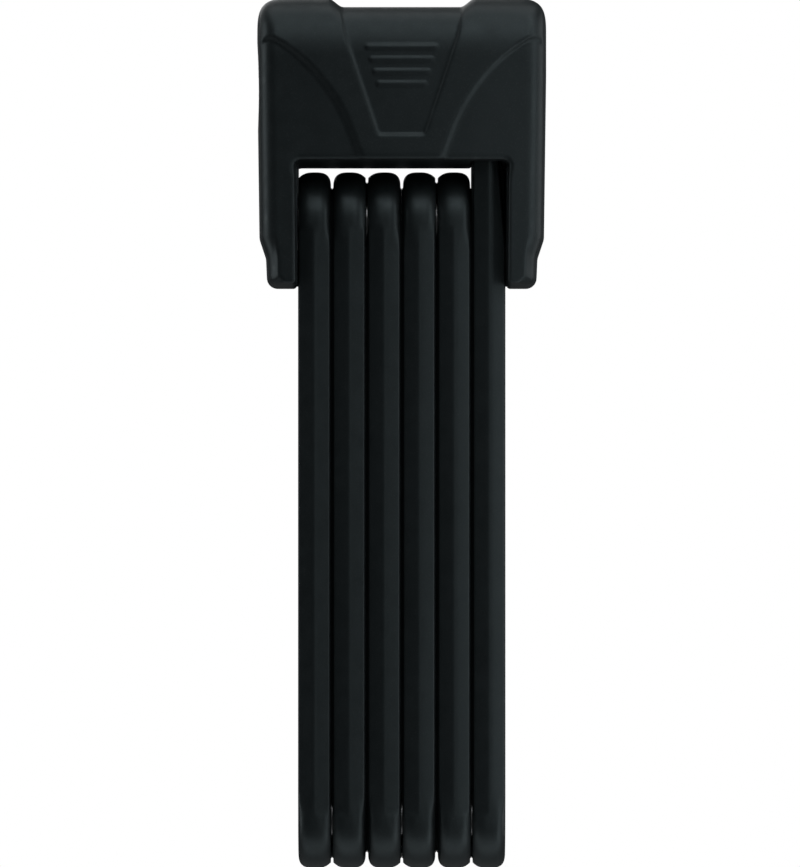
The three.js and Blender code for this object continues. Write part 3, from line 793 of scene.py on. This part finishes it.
class Finish:
    """A node-based surface. Lengths are in millimetres, through the object's own axes."""

    def __init__(self, name, roughness, metallic=0.0, specular=0.5):
        self.material = bpy.data.materials.new(name)
        self.material.use_nodes = True
        self.tree = self.material.node_tree
        self.shader = self.tree.nodes["Principled BSDF"]
        self.shader.inputs["Metallic"].default_value = metallic
        self.shader.inputs["Specular IOR Level"].default_value = specular
        if not metallic:
            self.shader.inputs["Specular Tint"].default_value = COOL_SHINE
        self.shader.inputs["Roughness"].default_value = roughness
        place = self.add("ShaderNodeTexCoord").outputs["Object"]
        scale = self.add("ShaderNodeVectorMath")
        scale.operation = "SCALE"
        self.join(place, scale.inputs[0])
        scale.inputs["Scale"].default_value = 1 / MM
        self.place = scale.outputs["Vector"]

    def add(self, kind):
        return self.tree.nodes.new(kind)

    def join(self, out, into):
        self.tree.links.new(out, into)

    def value(self, operation, *terms):
        node = self.add("ShaderNodeMath")
        node.operation = operation
        for term, socket in zip(terms, node.inputs):
            if isinstance(term, (int, float)):
                socket.default_value = term
            else:
                self.join(term, socket)
        return node.outputs[0]

    def stretch(self, scale):
        """The place with each axis scaled, for streaks."""
        node = self.add("ShaderNodeVectorMath")
        node.operation = "MULTIPLY"
        self.join(self.place, node.inputs[0])
        node.inputs[1].default_value = scale
        return node.outputs["Vector"]

    def noise(self, scale, detail=2.0, place=None):
        node = self.add("ShaderNodeTexNoise")
        self.join(place or self.place, node.inputs["Vector"])
        node.inputs["Scale"].default_value = scale
        node.inputs["Detail"].default_value = detail
        return node.outputs["Fac"]

    def spread(self, value, low, high, from_low=0.3, from_high=0.7):
        """Maps a noise's middle range to low..high."""
        node = self.add("ShaderNodeMapRange")
        self.join(value, node.inputs["Value"])
        node.inputs["From Min"].default_value = from_low
        node.inputs["From Max"].default_value = from_high
        node.inputs["To Min"].default_value = low
        node.inputs["To Max"].default_value = high
        return node.outputs["Result"]

    def mix(self, share, one, two):
        node = self.add("ShaderNodeMix")
        node.data_type = "RGBA"
        self.join(share, node.inputs["Factor"])
        for color, socket in ((one, node.inputs["A"]), (two, node.inputs["B"])):
            if isinstance(color, tuple):
                socket.default_value = (*color, 1)
            else:
                self.join(color, socket)
        return node.outputs["Result"]

    def edges(self):
        """1 on outer edges, where things rub, and 0 elsewhere."""
        flat, sharp = 0.52, 0.6
        geometry = self.add("ShaderNodeNewGeometry")
        return self.spread(geometry.outputs["Pointiness"], 0, 1, flat, sharp)

    def bump(self, height, depth):
        """Relief of this depth in millimetres."""
        node = self.add("ShaderNodeBump")
        node.inputs["Distance"].default_value = depth * MM
        self.join(height, node.inputs["Height"])
        if self.shader.inputs["Normal"].links:
            self.join(self.shader.inputs["Normal"].links[0].from_socket, node.inputs["Normal"])
        self.join(node.outputs["Normal"], self.shader.inputs["Normal"])

    def color(self, socket):
        self.join(socket, self.shader.inputs["Base Color"])

    def roughness(self, socket):
        self.join(socket, self.shader.inputs["Roughness"])


def plastic(name, dark, light, worn, roughness, grain, depth, specular=0.4):
    """Moulded plastic with a fine spark-eroded grain, cloudy in colour, rubbed at its edges."""
    look = Finish(name, roughness, 0.0, specular)
    cloud = look.spread(look.noise(0.12, 3), 0, 1)
    rub = look.value("MULTIPLY", look.edges(), look.spread(look.noise(0.9, 4), 0.2, 1))
    base = look.mix(cloud, dark, light)
    speck = look.spread(look.noise(grain * 0.6, 2), 0, 0.35, 0.55, 0.75)
    base = look.mix(speck, base, worn)
    look.color(look.mix(look.value("MULTIPLY", rub, 0.6), base, worn))
    blotch = look.spread(look.noise(0.35, 3), roughness - 0.04, roughness + 0.05)
    look.roughness(look.value("SUBTRACT", blotch, look.value("MULTIPLY", rub, 0.06)))
    look.bump(look.noise(grain, 2), depth)
    look.bump(look.noise(0.25, 1), depth * 3)
    return look.material


def brushed_metal(name, dark, light, roughness, streak, depth):
    """Metal with fine streaks. streak scales each axis, smallest along the strokes."""
    look = Finish(name, roughness, 1.0)
    stroke = look.noise(1.0, 4, look.stretch(streak))
    cloud = look.noise(0.2, 3)
    look.color(look.mix(look.spread(stroke, 0, 1), dark, light))
    shade = look.value("ADD", look.spread(stroke, -0.05, 0.05), look.spread(cloud, -0.05, 0.05))
    look.roughness(look.value("ADD", shade, roughness))
    look.bump(stroke, depth)
    return look.material


def turned_metal(name, dark, light, roughness, heights, depth):
    """Metal turned about lines along X at one or two heights, with fine rings."""
    look = Finish(name, roughness, 1.0)
    parts = look.add("ShaderNodeSeparateXYZ")
    look.join(look.place, parts.inputs[0])
    middle = (min(heights) + max(heights)) / 2 + LOW_END
    half = (max(heights) - min(heights)) / 2
    up = look.value("ABSOLUTE", look.value("SUBTRACT", parts.outputs["Z"], middle))
    up = look.value("SUBTRACT", up, half)
    up_squared = look.value("MULTIPLY", up, up)
    out_squared = look.value("MULTIPLY", parts.outputs["Y"], parts.outputs["Y"])
    radius = look.value("SQRT", look.value("ADD", up_squared, out_squared))
    fine = 9.0  # rings in each millimetre
    rings = look.add("ShaderNodeCombineXYZ")
    look.join(look.value("MULTIPLY", radius, fine), rings.inputs["X"])
    look.join(look.value("MULTIPLY", parts.outputs["X"], fine), rings.inputs["Y"])
    groove = look.noise(1.0, 3, rings.outputs[0])
    spot = look.noise(0.8, 4)
    look.color(look.mix(look.spread(spot, 0, 1), dark, light))
    shade = look.value("ADD", look.spread(groove, -0.06, 0.06), look.spread(spot, -0.05, 0.06))
    look.roughness(look.value("ADD", shade, roughness))
    look.bump(groove, depth)
    return look.material


def cast_metal(name, dark, light, roughness):
    """Die-cast metal: grey, blotchy and slightly pitted."""
    look = Finish(name, roughness, 1.0)
    pits = look.noise(2.2, 4)
    look.color(look.mix(look.spread(look.noise(0.5, 4), 0, 1), dark, light))
    look.roughness(look.spread(pits, roughness - 0.08, roughness + 0.1))
    look.bump(pits, 0.04)
    return look.material


def make_materials():
    dark = (0.0056, 0.0070, 0.0076)
    light = (0.0078, 0.0096, 0.0104)
    worn = (0.03, 0.032, 0.033)
    along = (14.0, 14.0, 0.25)
    pivots = (LOW_PIVOT, HIGH_PIVOT)
    steel = (0.42, 0.43, 0.44), (0.6, 0.61, 0.62)
    return {
        "body_plastic": plastic("body_plastic", dark, light, worn, 0.42, 5.0, 0.006),
        "link_cover": plastic("link_cover", dark, light, worn, 0.4, 7.0, 0.005),
        "link_steel": brushed_metal("link_steel", *steel, 0.34, along, 0.004),
        "rivet_steel": turned_metal("rivet_steel", *steel, 0.3, pivots, 0.004),
        "washer_steel": turned_metal(
            "washer_steel", (0.42, 0.43, 0.44), (0.58, 0.59, 0.6), 0.36, pivots, 0.005
        ),
        "cast_zinc": cast_metal("cast_zinc", (0.3, 0.31, 0.32), (0.42, 0.43, 0.44), 0.5),
        "bezel": plastic("bezel", dark, light, worn, 0.3, 3.0, 0.004, 0.5),
        "cylinder_brass": turned_metal(
            "cylinder_brass", (0.46, 0.34, 0.15), (0.62, 0.47, 0.22), 0.3, (PLUG_AXIS,), 0.004
        ),
        "plug_face": turned_metal(
            "plug_face", (0.4, 0.4, 0.39), (0.58, 0.57, 0.55), 0.28, (PLUG_AXIS,), 0.005
        ),
        "spring_steel": brushed_metal(
            "spring_steel", (0.5, 0.5, 0.5), (0.68, 0.68, 0.67), 0.25, (6.0, 6.0, 6.0), 0.002
        ),
    }


# ---- Stage -----------------------------------------------------------------------------
def flat_sheet(name, corners, material):
    mesh = bpy.data.meshes.new(name)
    mesh.from_pydata(corners, [], [(0, 1, 2, 3)])
    mesh.materials.append(material)
    sheet = bpy.data.objects.new(name, mesh)
    bpy.context.scene.collection.objects.link(sheet)


def area_light(name, at, towards, size, radiance):
    """A soft rectangular light, given by how bright its surface looks."""
    light = bpy.data.lights.new(name, "AREA")
    light.shape = "RECTANGLE"
    light.size, light.size_y = size
    light.energy = radiance * math.pi * size[0] * size[1]
    lamp = bpy.data.objects.new(name, light)
    lamp.location = at
    lamp.rotation_euler = (Vector(towards) - Vector(at)).to_track_quat("-Z", "Y").to_euler()
    lamp.visible_camera = False
    bpy.context.scene.collection.objects.link(lamp)


def seen_white(tree, plain, bright):
    """Shows the bright shader to the camera and the plain one to everything else."""
    path = tree.nodes.new("ShaderNodeLightPath")
    mix = tree.nodes.new("ShaderNodeMixShader")
    tree.links.new(path.outputs["Is Camera Ray"], mix.inputs["Fac"])
    tree.links.new(plain, mix.inputs[1])
    tree.links.new(bright, mix.inputs[2])
    return mix.outputs[0]


def make_floor():
    low = -0.95
    paper = Finish("stage_paper", 0.9, 0.0, 0.2)
    paper.color(paper.mix(paper.noise(0.01, 2), (0.5, 0.5, 0.5), (0.52, 0.52, 0.52)))
    glow = paper.add("ShaderNodeEmission")
    glow.inputs["Color"].default_value = (0.9, 0.91, 0.92, 1)
    output = paper.tree.nodes["Material Output"]
    paper.join(seen_white(paper.tree, paper.shader.outputs[0], glow.outputs[0]), output.inputs[0])
    flat_sheet("floor", [(-9, -9, low), (9, -9, low), (9, 9, low), (-9, 9, low)], paper.material)


def make_world():
    world = bpy.data.worlds.new("studio")
    world.use_nodes = True
    tree = world.node_tree
    room = tree.nodes["Background"]
    room.inputs["Color"].default_value = (0.9, 0.97, 1.0, 1)
    room.inputs["Strength"].default_value = 0.07
    white = tree.nodes.new("ShaderNodeBackground")
    white.inputs["Color"].default_value = (1, 1, 1, 1)
    shown = seen_white(tree, room.outputs[0], white.outputs[0])
    tree.links.new(shown, tree.nodes["World Output"].inputs["Surface"])
    bpy.context.scene.world = world


# Each light's name, place, aim, size and radiance.
MIDDLE = (0, 0, -0.05)
LIGHTS = [
    ("top_light", (0.12, -0.95, 0.76), MIDDLE, (0.8, 0.45), 1.8),
    ("high_light", (0, -0.15, 1.3), MIDDLE, (1.6, 1.7), 1.0),
    ("low_light", (0, -0.05, -0.27), (0, -0.01, -0.17), (0.4, 0.08), 0.64),
    ("panel_light", (0.05, -0.2, -0.06), (0.03, 0, -0.06), (0.045, 0.36), 0.65),
    ("near_right_light", (0.083, -0.06, -0.04), (0.01, -0.01, -0.04), (0.04, 0.42), 1.3),
    ("front_light", (0.3, -2.1, 0.15), MIDDLE, (1.7, 1.0), 0.04),
    ("left_light", (-0.8, 0.0, 0.05), MIDDLE, (0.4, 0.9), 1.6),
    ("right_light", (0.8, 0.15, 0.05), MIDDLE, (0.6, 0.9), 0.95),
    ("rear_light", (-0.6, 1.3, 0.7), MIDDLE, (1.2, 0.9), 1.2),
]


def make_stage():
    make_floor()
    make_world()
    for light in LIGHTS:
        area_light(*light)
    bpy.context.scene.view_settings.view_transform = "Standard"


def make_camera():
    distance = 1.6
    width = 0.184  # how much of the object's plane the picture spans
    camera = bpy.data.cameras.new("camera")
    camera.sensor_fit = "HORIZONTAL"
    camera.sensor_width = 36
    camera.lens = camera.sensor_width * distance / width
    camera.clip_start, camera.clip_end = 0.05, 30
    holder = bpy.data.objects.new("camera", camera)
    holder.location = (-0.0004, -distance, cad_box[0][2] + 0.09994)
    holder.rotation_euler = (math.pi / 2, 0, 0)
    bpy.context.scene.collection.objects.link(holder)
    bpy.context.scene.camera = holder


# ---- The object ------------------------------------------------------------------------
def put(piece, body, node):
    """A piece moves with a body, and stands for a node in its finish."""
    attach(piece, body)
    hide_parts(node)


def build_body(looks):
    plastic_look = looks["body_plastic"]
    front = body_cover("front_half_of_body", front_half, GRID["front"], plastic_look)
    put(front, "lock_body", "front_cover")
    rear = body_cover("rear_half_of_body", rear_half, GRID["rear"], plastic_look)
    put(rear, "lock_body", "rear_cover")
    left = (-29.6, -28.6)
    right = link_x(1) + STEEL["half"] + RIVET["play"]
    right = (right, right + RIVET["thick"])
    pin = rivet("rivet_of_body", 0, HIGH_PIVOT, left, right, looks["rivet_steel"])
    put(pin, "lock_body", "body_rivet")
    low, high = -25.5, link_x(1) - STEEL["half"] - RIVET["play"]
    ring = washer("washer_of_body", 0, HIGH_PIVOT, low, high, looks["washer_steel"])
    put(ring, "lock_body", "body_washer")
    put(bezel(looks["bezel"]), "lock_body", "keyway_bezel")
    put(plug(looks["plug_face"]), "key_plug", "cylinder_plug")


def build_links(looks):
    seat = PITCH / 2 + STEEL["half"] + RIVET["play"]
    half = PITCH / 2 - STEEL["half"] - RIVET["play"]
    left, right = (-seat - RIVET["thick"], -seat), (seat, seat + RIVET["thick"])
    for k in range(1, LINKS + 1):
        body = f"link_{k}"
        put(link_cover(k, looks["link_cover"]), body, f"link_cover_{k}")
        put(link_bar(k, looks["link_steel"]), body, f"link_bar_{k}")
        if k == LINKS:
            break
        x = link_x(k) + PITCH / 2
        z = LOW_PIVOT if k % 2 else HIGH_PIVOT
        pin = rivet(f"rivet_of_joint_{k}", x, z, left, right, looks["rivet_steel"])
        put(pin, body, f"joint_rivet_{k}")
        ring = washer(f"washer_of_joint_{k}", x, z, -half, half, looks["washer_steel"])
        put(ring, body, f"joint_washer_{k}")


def dress_nodes(looks):
    """Gives every node that is kept the finish of its slot."""
    slots = {part["node"]: part["material_slot"] for part in frame["record"]["subparts"]}
    for name, node in frame["nodes"].items():
        for place in node.material_slots:
            place.material = looks[slots[name]]
        node.data.set_sharp_from_angle(angle=math.radians(35))


make_camera()
make_stage()
looks = make_materials()
build_body(looks)
build_links(looks)
dress_nodes(looks)
